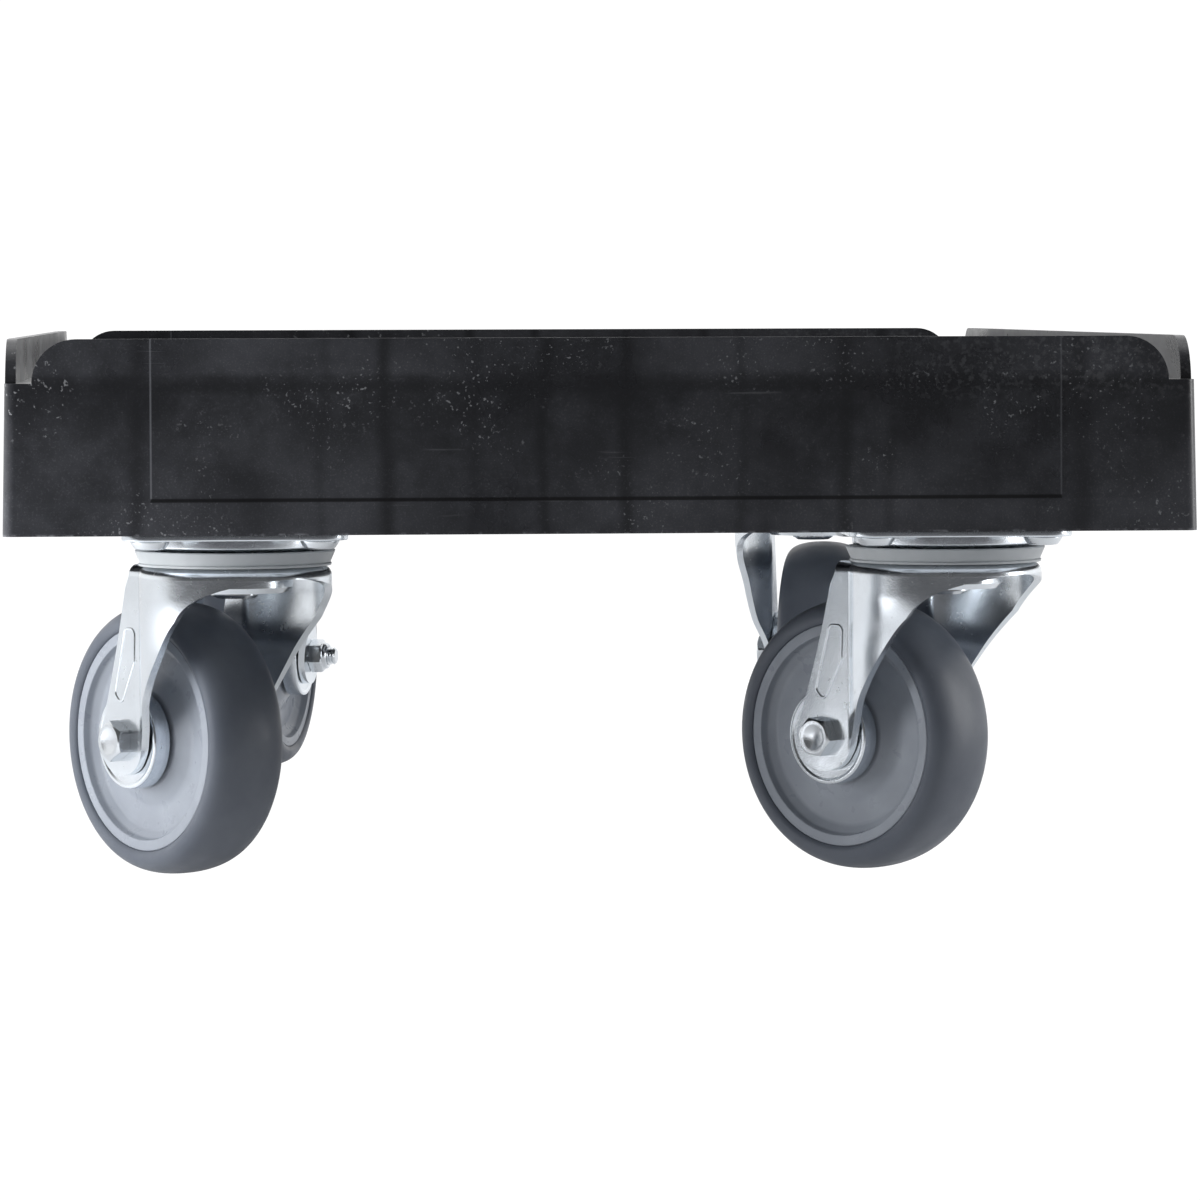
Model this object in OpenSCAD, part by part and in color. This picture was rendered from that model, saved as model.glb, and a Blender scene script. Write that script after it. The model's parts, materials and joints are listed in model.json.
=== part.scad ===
// Crate dolly: a moulded plastic deck with an upstanding rim on each side, on four swivel casters.
// Millimetres. +X is the deck's width, +Y its length, +Z is up, and the floor is z = 0.

/* [Deck] */
// Width of the deck at its lower edge
deck_w = 420; // [400:1:440]
// Length of the deck at its lower edge
deck_l = 620; // [600:1:640]
// Place of the deck's centre along Y, so that the box with the trailing rear wheels is centred
deck_y = -7; // [-12:0.5:0]
// Height of the skirt, from its lower edge to the top of the deck plate
skirt_h = 53.2; // [48:0.1:60]
// Height of the rims above the deck plate
rim_h = 15.4; // [12:0.1:20]
// Thickness of the rims and of the skirt at its top
wall = 3.8; // [3:0.1:5]
// How far the skirt and the rims lean in, from the lower edge to the rim's top
lean = 1.3; // [0.5:0.1:3]
// Radius of the deck's upright corners
corner_r = 4; // [2:0.5:8]
// Distance from the deck's corner to the end of a rim
rim_gap = 9.5; // [6:0.5:20]
// Thickness of the deck plate
plate_t = 3.5; // [2.5:0.1:5]

/* [Ribs and pads] */
// Thickness of the ribs under the deck
rib_t = 2.2; // [1.6:0.1:3]
// Distance between the lengthwise ribs
rib_pitch = 27.5; // [24:0.5:32]
// Distance between the cross ribs
cross_pitch = 48; // [40:1:56]
// Height of the ribs' lower edges above the skirt's lower edge
rib_lift = 4; // [1:0.5:10]
// Radius of the screw bosses
boss_r = 9; // [8:0.5:11]
// Length of a drain slot
slot_l = 34; // [20:1:40]
// Width of a drain slot
slot_w = 6; // [4:0.5:8]

/* [Caster places] */
// Distance of the swivel axes from the deck's middle, across
caster_x = 129; // [120:0.5:135]
// Distance of the swivel axes from the deck's middle, along
caster_y = 237.5; // [225:0.5:245]
// Heading of the front left caster at rest
front_left_turn = -53.4; // [-180:0.1:180]
// Heading of the front right caster at rest
front_right_turn = -44.9; // [-180:0.1:180]
// Heading of the rear left caster at rest
rear_left_turn = -105.4; // [-180:0.1:180]
// Heading of the rear right caster at rest
rear_right_turn = -102.9; // [-180:0.1:180]

/* [Swivel head] */
// Height of the whole caster, floor to deck
caster_h = 128; // [127:0.5:130]
// Width of the top plate, across the deck
plate_w = 80; // [76:1:84]
// Length of the top plate, along the deck
plate_l = 105; // [100:1:110]
// Distance between the plate's screws, across
screw_dx = 60; // [56:1:62]
// Distance between the plate's screws, along
screw_dy = 80; // [76:1:84]
// Thickness of the pressed steel
steel_t = 2.8; // [2.5:0.1:3]
// Radius of the plate's round dish
dish_r = 34; // [33:0.1:34.5]
// Radius of the king pin
king_r = 6; // [5:0.1:6.5]
// Running clearance round the king pin
pin_gap = 0.05; // [0.02:0.01:0.09]

/* [Fork and axle] */
// Radius of the fork's round crown
crown_r = 35; // [34:0.1:36]
// Width over the fork's two flat legs
fork_w = 49; // [48:0.2:50]
// Distance from the swivel axis back to the axle
trail = 38; // [36:0.5:40]
// Radius of the axle bolt, M8
bolt_r = 4; // [3.9:0.05:4]
// Size of the bolt's head and nut across the flats
hex_af = 13; // [12.5:0.1:13]

/* [Wheel] */
// Radius of the wheel at the middle of its tread
wheel_r = 50; // [49:0.5:50]
// Width of the tyre
tyre_w = 32; // [30:1:33]
// Radius where the tyre meets the rim
seat_r = 41; // [40:0.5:42]
// Length of the wheel's hub
hub_l = 38; // [36:0.5:39]

/* [Hidden] */
CORNERS = [
    ["front_left", -1, -1, front_left_turn, 0],
    ["front_right", 1, -1, front_right_turn, 22],
    ["rear_left", -1, 1, rear_left_turn, 10],
    ["rear_right", 1, 1, rear_right_turn, 35]
];
PIECES = [
    "top_plate", "plate_screws", "king_pin", "race_cup", "swivel_balls", "dust_ring", "fork",
    "axle_bolt", "axle_nut", "thread_guards", "axle_sleeve", "roller_bearing", "wheel_rim", "tyre"
];
$fn = 96;
eps = 0.01;

// Levels above the floor
deck_z = caster_h + skirt_h;
rim_z = deck_z + rim_h;
dish_z = caster_h - 7.5;
crown_z = dish_z - 6;
crown_under = crown_z - steel_t;
axle_z = wheel_r;
rib_z = caster_h + rib_lift;

// Ball races: the upper row carries the load, and the lower row holds the crown down
upper_race_r = 26;
upper_ball_r = 3.5;
upper_ball_z = crown_z + 3;
lower_race_r = 15;
lower_ball_r = 2.5;
lower_ball_z = crown_under - 2.1;
cup_top = lower_ball_z - lower_ball_r - 0.3;
cup_r = 20;
ball_gap = 0.3;

// Legs of the fork: x is towards the front of the caster, measured from the swivel axis
leg_in = fork_w / 2 - steel_t;
crease_x = -sqrt(crown_r * crown_r - fork_w * fork_w / 4);
leg_end_r = 12.6;
crown_bend = 4;

// Axle parts, by their distance from the wheel's middle
guard_t = 1.2;
guard_r = 17.8;
guard_depth = 7;
sleeve_r = 6;
sleeve_gap = 0.05;
roller_r = 1.85;
roller_ring_r = sleeve_r + 2;
bearing_l = 30;
hub_bore = roller_ring_r + roller_r + 0.05;
hub_r = 14;
head_h = 5.3;
nut_h = 8;
bolt_out = 36;

// Inserts and screws
insert_r = 5;
insert_l = 12;
screw_r = bolt_r - 0.05;
screw_l = 12;
screw_head_r = 7;
screw_head_h = 3.3;

function inward(z) = lean * (z - caster_h) / (skirt_h + rim_h);
function arc(cx, cy, r, a0, a1, n) =
    [for (i = [0 : n]) let (a = a0 + (a1 - a0) * i / n) [cx + r * cos(a), cy + r * sin(a)]];
function bezier(a, b, c, d, n) =
    [for (i = [0 : n]) let (t = i / n, s = 1 - t)
        s * s * s * a + 3 * s * s * t * b + 3 * s * t * t * c + t * t * t * d];

// Placing

module at_corner(corner) {
    translate([corner[1] * caster_x, deck_y + corner[2] * caster_y, 0])
        children();
}

module turned(corner) {
    at_corner(corner) rotate([0, 0, corner[3]]) children();
}

// The axle's frame: z runs along the axle, towards the bolt's head
module on_axle(corner) {
    turned(corner) translate([-trail, 0, axle_z]) rotate([90, 0, 0]) children();
}

module both_sides() {
    children();
    mirror([0, 0, 1]) children();
}

module rounded_square(w, l, r) {
    square([w - 2 * r, l], center = true);
    square([w, l - 2 * r], center = true);
    for (x = [-1, 1], y = [-1, 1])
        translate([x * (w / 2 - r), y * (l / 2 - r)]) circle(r);
}

module ring_of(r_in, r_out, z_low, z_high) {
    rotate_extrude()
        translate([r_in, z_low]) square([r_out - r_in, z_high - z_low]);
}

// Deck

module deck_envelope() {
    hull()
        for (x = [-1, 1], y = [-1, 1], z = [caster_h, rim_z - 1])
            translate([
                x * (deck_w / 2 - inward(z) - corner_r),
                y * (deck_l / 2 - inward(z) - corner_r),
                z
            ]) cylinder(h = 1, r = corner_r, $fn = 32);
}

// One rim seen from its side, with quarter-round upper ends
module rim_outline(length) {
    polygon(concat(
        arc(length / 2 - rim_h, deck_z, rim_h, 0, 90, 12),
        arc(rim_h - length / 2, deck_z, rim_h, 90, 180, 12),
        [[-length / 2, deck_z - 1], [length / 2, deck_z - 1]]
    ));
}

module rims() {
    for (side = [0, 180]) {
        rotate([0, 0, side])
            translate([0, -deck_l / 2 + wall + inward(deck_z), 0])
                rotate([90, 0, 0])
                    linear_extrude(wall * 2)
                        rim_outline(deck_w - 2 * (rim_gap + inward(deck_z)));
        rotate([0, 0, side])
            translate([deck_w / 2 - wall - inward(deck_z), 0, 0])
                rotate([90, 0, 90])
                    linear_extrude(wall * 2)
                        rim_outline(deck_l - 2 * (rim_gap + inward(deck_z)));
    }
}

module ribs() {
    inner_w = deck_w - 2 * wall;
    inner_l = deck_l - 2 * wall;
    rib_h = deck_z - plate_t - rib_z + eps;
    across = floor((inner_w / 2 - 10) / rib_pitch);
    along = floor((inner_l / 2 - 10) / cross_pitch);
    for (i = [-across : across])
        translate([i * rib_pitch - rib_t / 2, -inner_l / 2, rib_z]) cube([rib_t, inner_l, rib_h]);
    for (i = [-along : along])
        translate([-inner_w / 2, i * cross_pitch - rib_t / 2, rib_z]) cube([inner_w, rib_t, rib_h]);
}

// A pad is a frame as large as the caster's plate, with a boss at each screw
module pad() {
    pad_h = deck_z - plate_t - caster_h + eps;
    translate([0, 0, caster_h])
        linear_extrude(pad_h)
            difference() {
                rounded_square(plate_w, plate_l, 10);
                rounded_square(plate_w - 6, plate_l - 6, 8);
            }
    translate([0, 0, caster_h]) at_screws() cylinder(h = pad_h, r = boss_r);
}

module at_screws() {
    for (x = [-1, 1], y = [-1, 1])
        translate([x * screw_dx / 2, y * screw_dy / 2, 0]) children();
}

module drain_slots() {
    for (x = [-2.5, -0.5, 0.5, 2.5], y = [-2.5, -0.5, 0.5, 2.5])
        translate([x * rib_pitch, y * cross_pitch, deck_z - plate_t - 1])
            linear_extrude(plate_t + 2)
                rounded_square(slot_w, slot_l, slot_w / 2 - eps);
}

module deck() {
    color("#23242a")
        translate([0, deck_y, 0])
            difference() {
                union() {
                    intersection() {
                        deck_envelope();
                        union() {
                            difference() {
                                translate([-deck_w, -deck_l, caster_h])
                                    cube([2 * deck_w, 2 * deck_l, skirt_h]);
                                translate([0, 0, caster_h - 1])
                                    linear_extrude(skirt_h - plate_t + 1)
                                        rounded_square(deck_w - 2 * wall - 1.8, deck_l - 2 * wall - 1.8, 2);
                            }
                            rims();
                        }
                    }
                    ribs();
                    for (x = [-1, 1], y = [-1, 1])
                        translate([x * caster_x, y * caster_y, 0]) pad();
                }
                for (x = [-1, 1], y = [-1, 1])
                    translate([x * caster_x, y * caster_y, caster_h - 1])
                        at_screws() cylinder(h = screw_l + 4, r = insert_r);
                drain_slots();
            }
}

module threaded_inserts() {
    color("#b8a05a")
        for (corner = CORNERS)
            at_corner(corner)
                at_screws()
                    ring_of(bolt_r, insert_r - eps, caster_h + 0.3, caster_h + 0.3 + insert_l);
}

// Parts of the caster that stay with the deck

module top_plate() {
    color("#c9ced4")
        difference() {
            union() {
                translate([0, 0, caster_h - steel_t])
                    linear_extrude(steel_t)
                        rounded_square(plate_w, plate_l, 10);
                translate([0, 0, dish_z]) cylinder(h = caster_h - dish_z, r = dish_r);
            }
            translate([0, 0, dish_z + steel_t]) cylinder(h = caster_h, r = dish_r - steel_t);
            cylinder(h = caster_h, r = king_r + eps);
            at_screws() cylinder(h = caster_h + 1, r = bolt_r + 0.25);
            race_groove(upper_race_r, upper_ball_z, upper_ball_r + ball_gap);
        }
}

module race_groove(ring_r, z, groove_r) {
    translate([0, 0, z])
        rotate_extrude()
            translate([ring_r, 0]) circle(groove_r);
}

module plate_screws() {
    under = caster_h - steel_t;
    color("#d4d8dd")
        at_screws()
            difference() {
                union() {
                    translate([0, 0, under]) cylinder(h = screw_l + steel_t - 2, r = screw_r);
                    rotate_extrude()
                        polygon(concat(
                            [[0, under], [screw_head_r, under], [screw_head_r, under - 1]],
                            arc(0, under - 1, screw_head_h - 1, 0, -90, 8) * [[screw_head_r / 2.3, 0], [0, 1]]
                        ));
                }
                translate([0, 0, under - screw_head_h - 1]) cylinder(h = 3, r = 3, $fn = 6);
            }
}

module king_pin() {
    color("#aeb4ba") {
        rotate_extrude()
            polygon([
                [0, cup_top - 4.2], [7, cup_top - 4.2], [9, cup_top - 3], [9, cup_top - 2],
                [king_r, cup_top - 2], [king_r, dish_z + steel_t], [10, dish_z + steel_t],
                [10, dish_z + steel_t + 1.5], [8, dish_z + steel_t + 3], [0, dish_z + steel_t + 3]
            ]);
    }
}

module race_cup() {
    color("#b4babf")
        rotate_extrude()
            polygon([
                [king_r + eps, cup_top - 2], [cup_r - 1, cup_top - 2], [cup_r + 0.8, cup_top],
                [cup_r + 0.8, cup_top + 3.4], [cup_r - 0.8, cup_top + 3.4], [cup_r - 0.8, cup_top + 0.6],
                [cup_r - 1.4, cup_top], [king_r + eps, cup_top]
            ]);
}

// Parts that swivel

module ball_row(count, ring_r, z, ball_r) {
    for (i = [1 : count])
        rotate([0, 0, i * 360 / count])
            translate([ring_r, 0, z]) sphere(ball_r);
}

module swivel_balls() {
    color("#d9dce0") {
        ball_row(22, upper_race_r, upper_ball_z, upper_ball_r);
        ball_row(16, lower_race_r, lower_ball_z, lower_ball_r);
    }
}

module dust_ring() {
    ring_top = dish_z - 0.3;
    color("#c4c4c8")
        rotate_extrude()
            polygon([
                [30.8, crown_z], [34, crown_z + 0.1], [36.5, ring_top], [34.6, ring_top],
                [32.6, crown_z + 1.8], [30.8, crown_z + 1.8]
            ]);
}

// Outline of the legs and the crown, seen from the caster's side
// One side of the fork, with its front edge in three curves from the crown down to the leg's end
module fork_side() {
    bend_z = crown_z - crown_bend;
    low_z = axle_z - leg_end_r;
    translate([-trail, axle_z]) circle(leg_end_r);
    polygon(concat(
        [[-trail - leg_end_r + 0.3, axle_z + 3], [-34, crown_under - 6], [-32, crown_under - 3]],
        [[-32, crown_z], [crown_r, crown_z]],
        bezier([crown_r, bend_z], [27, bend_z - 3.3], [15, 105], [8, 95], 6),
        bezier([8, 95], [-2.5, 86.5], [-19.5, 64.5], [-24, axle_z], 8),
        bezier([-24, axle_z], [-25, 43], [-28, low_z], [-trail, low_z], 6)
    ));
}

module fork_side_slab(y_low, y_high) {
    translate([0, y_high, 0])
        rotate([90, 0, 0])
            linear_extrude(y_high - y_low) fork_side();
}

// The round crown and the wall below it, before its sides are cut to shape
module crown_shell() {
    wall_in = crown_r - steel_t;
    bend_in = crown_bend - steel_t;
    rotate_extrude()
        polygon(concat(
            [[0, crown_z]],
            arc(crown_r - crown_bend, crown_z - crown_bend, crown_bend, 90, 0, 8),
            [[crown_r, axle_z - 15], [wall_in, axle_z - 15]],
            arc(crown_r - crown_bend, crown_z - crown_bend, bend_in, 0, 90, 4),
            [[0, crown_under]]
        ));
}

module fork() {
    color("#bfc6cc")
        difference() {
            union() {
                intersection() {
                    crown_shell();
                    fork_side_slab(-crown_r - 1, crown_r + 1);
                    translate([crease_x, -crown_r - 1, 0]) cube([2 * crown_r, 2 * crown_r + 2, caster_h]);
                }
                for (side = [-1, 1])
                    intersection() {
                        fork_side_slab(side < 0 ? -fork_w / 2 : leg_in, side < 0 ? -leg_in : fork_w / 2);
                        translate([-crown_r - trail, -crown_r, 0])
                            cube([crown_r + trail + crease_x + 0.4, 2 * crown_r, caster_h]);
                    }
                intersection() {
                    fork_side_slab(-fork_w / 2, fork_w / 2);
                    translate([-crown_r, -fork_w / 2, crown_under])
                        cube([crown_r + crease_x + 1, fork_w, steel_t]);
                }
            }
            cylinder(h = caster_h, r = king_r + pin_gap);
            translate([-trail - crown_r, -leg_in, 0])
                cube([trail + crown_r - 20, 2 * leg_in, crown_z - 10]);
            race_groove(upper_race_r, upper_ball_z, upper_ball_r + 0.05);
            race_groove(lower_race_r, lower_ball_z, lower_ball_r + 0.05);
            translate([-trail, 0, axle_z])
                rotate([90, 0, 0]) cylinder(h = 2 * fork_w, r = bolt_r + 0.1, center = true);
        }
}

module axle_bolt(turn) {
    head_from = fork_w / 2 + 0.05;
    color("#d4d8dd") {
        translate([0, 0, -bolt_out]) cylinder(h = head_from + bolt_out + 1, r = bolt_r - 0.05);
        intersection() {
            translate([0, 0, head_from])
                rotate([0, 0, turn]) cylinder(h = head_h, r = hex_af / sqrt(3), $fn = 6);
            rotate_extrude()
                polygon([
                    [0, head_from], [8, head_from], [8, head_from + head_h - 1],
                    [6.4, head_from + head_h], [0, head_from + head_h]
                ]);
        }
    }
}

module axle_nut(turn) {
    face = -fork_w / 2 - 0.05;
    color("#d4d8dd")
        difference() {
            union() {
                translate([0, 0, face - 6])
                    rotate([0, 0, turn]) cylinder(h = 6, r = hex_af / sqrt(3), $fn = 6);
                translate([0, 0, face - nut_h]) cylinder(h = 3, r = 5.6);
            }
            translate([0, 0, face - nut_h - 1]) cylinder(h = nut_h + 2, r = bolt_r);
        }
}

// A cupped washer each side keeps threads and dirt off the bearing
module thread_guards() {
    color("#c3c8ce")
        both_sides()
            rotate_extrude()
                polygon([
                    [bolt_r + 0.1, leg_in - guard_t], [guard_r - 1.2, leg_in - guard_t],
                    [guard_r - 1.2, leg_in - guard_depth], [guard_r, leg_in - guard_depth],
                    [guard_r, leg_in - 0.8], [guard_r - 0.8, leg_in], [bolt_r + 0.1, leg_in]
                ]);
}

module axle_sleeve() {
    color("#9a9fa4")
        ring_of(bolt_r + 0.05, sleeve_r, guard_t - leg_in, leg_in - guard_t);
}

// Parts that turn with the wheel

module roller_bearing() {
    color("#8d9196") {
        difference() {
            ring_of(sleeve_r + 0.8, hub_bore - 0.7, -bearing_l / 2, bearing_l / 2);
            at_rollers() cylinder(h = bearing_l - 5, r = roller_r + 0.05, center = true);
        }
        at_rollers() cylinder(h = bearing_l - 6, r = roller_r, center = true);
    }
}

module at_rollers() {
    for (i = [1 : 8])
        rotate([0, 0, i * 45]) translate([roller_ring_r, 0, 0]) children();
}

module wheel_rim() {
    lip = tyre_w / 2 - 1.5;
    web = 13;
    dish = 9.8;
    color("#c8cad0")
        difference() {
            union() {
                ring_of(0, hub_r, -hub_l / 2, hub_l / 2);
                rotate_extrude()
                    polygon([
                        [hub_r - 1, -web], [19, -web], [25, -dish], [34, -dish], [36.4, -web + 1],
                        [37, -lip], [seat_r, -lip], [seat_r, lip], [37, lip], [36.4, web - 1],
                        [34, dish], [25, dish], [19, web], [hub_r - 1, web]
                    ]);
            }
            cylinder(h = hub_l + 2, r = sleeve_r + sleeve_gap, center = true);
            cylinder(h = bearing_l + 0.4, r = hub_bore, center = true);
        }
}

module tyre() {
    crown_arc = 45;
    shoulder = 4;
    edge = tyre_w / 2;
    shoulder_y = edge - shoulder;
    lift = sqrt(crown_arc * crown_arc - shoulder_y * shoulder_y) + wheel_r - crown_arc;
    color("#474d56")
        rotate_extrude()
            polygon(concat(
                [[seat_r + eps, edge - 0.9], [seat_r + 1, edge]],
                arc(lift - shoulder, shoulder_y, shoulder, 90, 12, 6),
                arc(wheel_r - crown_arc, 0, crown_arc, 14, -14, 14),
                arc(lift - shoulder, -shoulder_y, shoulder, -12, -90, 6),
                [[seat_r + 1, -edge], [seat_r + eps, 0.9 - edge]]
            ));
}

deck();
threaded_inserts();
for (corner = CORNERS) {
    at_corner(corner) top_plate();
    at_corner(corner) plate_screws();
    at_corner(corner) king_pin();
    at_corner(corner) race_cup();
    turned(corner) swivel_balls();
    turned(corner) dust_ring();
    turned(corner) fork();
    on_axle(corner) axle_bolt(corner[4]);
    on_axle(corner) axle_nut(corner[4]);
    on_axle(corner) thread_guards();
    on_axle(corner) axle_sleeve();
    on_axle(corner) roller_bearing();
    on_axle(corner) wheel_rim();
    on_axle(corner) tyre();
}
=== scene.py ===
"""Looks of the crate dolly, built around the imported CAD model."""

import json
import math

import bmesh
import bpy
from mathutils import Matrix, Vector


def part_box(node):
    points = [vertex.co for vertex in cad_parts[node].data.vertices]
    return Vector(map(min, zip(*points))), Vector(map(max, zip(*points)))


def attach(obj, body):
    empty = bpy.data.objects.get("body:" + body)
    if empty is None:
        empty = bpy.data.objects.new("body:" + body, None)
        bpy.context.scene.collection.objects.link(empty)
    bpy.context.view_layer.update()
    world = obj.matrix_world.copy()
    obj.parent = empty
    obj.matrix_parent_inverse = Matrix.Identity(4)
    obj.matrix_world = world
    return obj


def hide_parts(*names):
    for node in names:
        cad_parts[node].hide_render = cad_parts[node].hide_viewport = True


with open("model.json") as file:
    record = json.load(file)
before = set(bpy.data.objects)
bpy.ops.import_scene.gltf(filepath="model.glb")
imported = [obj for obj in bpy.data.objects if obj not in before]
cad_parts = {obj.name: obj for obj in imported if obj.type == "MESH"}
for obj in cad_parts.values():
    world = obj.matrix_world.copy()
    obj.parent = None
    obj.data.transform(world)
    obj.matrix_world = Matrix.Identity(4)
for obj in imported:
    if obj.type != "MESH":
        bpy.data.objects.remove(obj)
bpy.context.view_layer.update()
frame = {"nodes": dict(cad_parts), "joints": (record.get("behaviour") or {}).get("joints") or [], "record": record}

MM = 0.001
CORNERS = ("front_left", "front_right", "rear_left", "rear_right")
JOINTS = {joint["name"]: joint for joint in frame["joints"]}

# Sizes that the frame gives, in millimetres
deck_low, deck_high = (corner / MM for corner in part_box("deck"))
mounts = {mount["name"]: mount for mount in frame["record"]["mounts"]}
DECK_MIDDLE = (deck_low + deck_high) / 2
DECK_HALF = (deck_high - deck_low) / 2
DECK_UNDER = deck_low.z
DECK_TOP = mounts["load_surface"]["pos_m"][2] / MM
DISH_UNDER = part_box("front_left_top_plate")[0].z / MM
CROWN_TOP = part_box("front_left_fork")[1].z / MM
WHEEL_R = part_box("front_left_tyre")[1].z / MM / 2

# Sizes that the shapes share, in millimetres
STEEL = 2.8
LEG_OUT = 24.5
LEG_IN = LEG_OUT - STEEL
CROWN_R = 35.0
CROWN_BEND = 4.0
DISH_R = 34.0
PLATE_W = 80.0
PLATE_L = 105.0
PLATE_CORNER_R = 10.0
SCREW_PLACES = tuple((x, y) for x in (-30, 30) for y in (-40, 40))
HEX_HALF_FLATS = 6.5
BOLT_FACE = LEG_OUT + 0.05
GUARD_R = 17.8
HUB_BORE = 9.9
EDGE_ROUND = 0.9
PANEL_PROUD = 0.5
DRAWN_IN = 0.31


# ---------------------------------------------------------------- places

def caster_place(corner):
    """The caster's frame: z is the swivel axis, and x points away from the trailing wheel."""
    swivel = Vector(JOINTS[corner + "_swivel_turn"]["pos_m"])
    axle = Vector(JOINTS[corner + "_wheel_spin"]["pos_m"])
    back = axle - swivel
    heading = math.atan2(-back.y, -back.x)
    return Matrix.Translation((swivel.x, swivel.y, 0)) @ Matrix.Rotation(heading, 4, "Z")


def axle_place(corner):
    """The axle's frame: z runs along the axle, towards the bolt's head."""
    swivel = Vector(JOINTS[corner + "_swivel_turn"]["pos_m"])
    axle = Vector(JOINTS[corner + "_wheel_spin"]["pos_m"])
    trail = (axle - swivel).to_2d().length
    shift = Matrix.Translation((-trail, 0, axle.z))
    return caster_place(corner) @ shift @ Matrix.Rotation(math.radians(90), 4, "X")


def plate_place(corner):
    """The top plate's frame: square with the deck, with its origin under the swivel axis."""
    swivel = JOINTS[corner + "_swivel_turn"]["pos_m"]
    return Matrix.Translation((swivel[0], swivel[1], 0))


TRAIL = (Vector(JOINTS["front_left_wheel_spin"]["pos_m"])
         - Vector(JOINTS["front_left_swivel_turn"]["pos_m"])).to_2d().length / MM


# ---------------------------------------------------------------- outlines

def filleted(corners, closed=True, steps=6):
    """Corners are (x, y, radius). Each is replaced by an arc of that radius."""
    points = []
    last = len(corners) - 1
    for i, (x, y, radius) in enumerate(corners):
        here = Vector((x, y))
        if radius <= 0 or (not closed and i in (0, last)):
            points.append((x, y))
            continue
        before = Vector(corners[i - 1][:2])
        after = Vector(corners[(i + 1) % len(corners)][:2])
        u = (before - here).normalized()
        v = (after - here).normalized()
        half = math.acos(max(-1.0, min(1.0, u.dot(v)))) / 2
        room = 0.49 * min((before - here).length, (after - here).length)
        cut = min(radius / math.tan(half), room)
        true_r = cut * math.tan(half)
        centre = here + (u + v).normalized() * (true_r / math.sin(half))
        start = here + u * cut - centre
        end = here + v * cut - centre
        turn = math.atan2(start.x * end.y - start.y * end.x, start.dot(end))
        for k in range(steps + 1):
            a = turn * k / steps
            c, s = math.cos(a), math.sin(a)
            points.append((centre.x + c * start.x - s * start.y, centre.y + s * start.x + c * start.y))
    return points


def arc(cx, cy, radius, first, last, steps):
    """Points along an arc, from the first angle to the last, in degrees."""
    angles = [math.radians(first + (last - first) * i / steps) for i in range(steps + 1)]
    return [(cx + radius * math.cos(a), cy + radius * math.sin(a)) for a in angles]


def bezier(a, b, c, d, t):
    """The point at t, from 0 to 1, on the curve that a, b, c and d steer."""
    s = 1 - t
    return [s**3 * p + 3 * s * s * t * q + 3 * s * t * t * r + t**3 * w
            for p, q, r, w in zip(a, b, c, d)]


# ---------------------------------------------------------------- meshes

def make_piece(name, verts, faces, place, body, material, sharp=35, tidy=0.0005):
    """A mesh given in millimetres in the frame of its place."""
    mesh = bpy.data.meshes.new(name)
    mesh.from_pydata([place @ (Vector(v) * MM) for v in verts], [], faces)
    bm = bmesh.new()
    bm.from_mesh(mesh)
    bmesh.ops.remove_doubles(bm, verts=bm.verts, dist=tidy * MM)
    bmesh.ops.dissolve_degenerate(bm, edges=bm.edges, dist=tidy * MM)
    bmesh.ops.recalc_face_normals(bm, faces=bm.faces)
    bm.to_mesh(mesh)
    bm.free()
    return add_piece(name, mesh, body, material, sharp)


def add_piece(name, mesh, body, material, sharp=35):
    """Puts a mesh in the scene, riding on a body. Edges over `sharp` degrees stay sharp."""
    mesh.shade_smooth()
    mesh.set_sharp_from_angle(angle=math.radians(sharp))
    piece = bpy.data.objects.new(name, mesh)
    bpy.context.scene.collection.objects.link(piece)
    mesh.materials.clear()
    mesh.materials.append(material)
    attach(piece, body)
    return piece


def even_normals(piece):
    """Large flat faces keep their own direction where they meet small rounded ones."""
    even = piece.modifiers.new("normals", "WEIGHTED_NORMAL")
    even.keep_sharp = True
    even.weight = 80


def joined(*shapes):
    """Several (verts, faces) as one."""
    verts, faces = [], []
    for some_verts, some_faces in shapes:
        base = len(verts)
        verts += some_verts
        faces += [tuple(base + i for i in face) for face in some_faces]
    return verts, faces


def grid_faces(rows, columns, wrap_rows=False, wrap_columns=False):
    """The four-sided faces between rows of points. A wrapped side joins up with the first again."""
    faces = []
    for r in range(rows if wrap_rows else rows - 1):
        here = r * columns
        there = (r + 1) % rows * columns
        for c in range(columns if wrap_columns else columns - 1):
            d = (c + 1) % columns
            faces.append((here + c, here + d, there + d, there + c))
    return faces


def hex_radius(apothem, angle):
    """How far a hexagon's side is from its middle, at an angle."""
    folded = (angle + math.pi / 6) % (math.pi / 3) - math.pi / 6
    return apothem / math.cos(folded)


def lathe(profile, segments=144, turn=0.0, closed=True):
    """Turns (radius, height) or (radius, height, apothem) about z. An apothem makes that ring a
    hexagon, cut down to the radius where the hexagon is wider."""
    verts = []
    for point in profile:
        for i in range(segments):
            a = 2 * math.pi * i / segments
            r = point[0]
            if len(point) == 3:
                r = min(r, hex_radius(point[2], a))
            verts.append((r * math.cos(a + turn), r * math.sin(a + turn), point[1]))
    return verts, grid_faces(len(profile), segments, wrap_rows=closed, wrap_columns=True)


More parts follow.
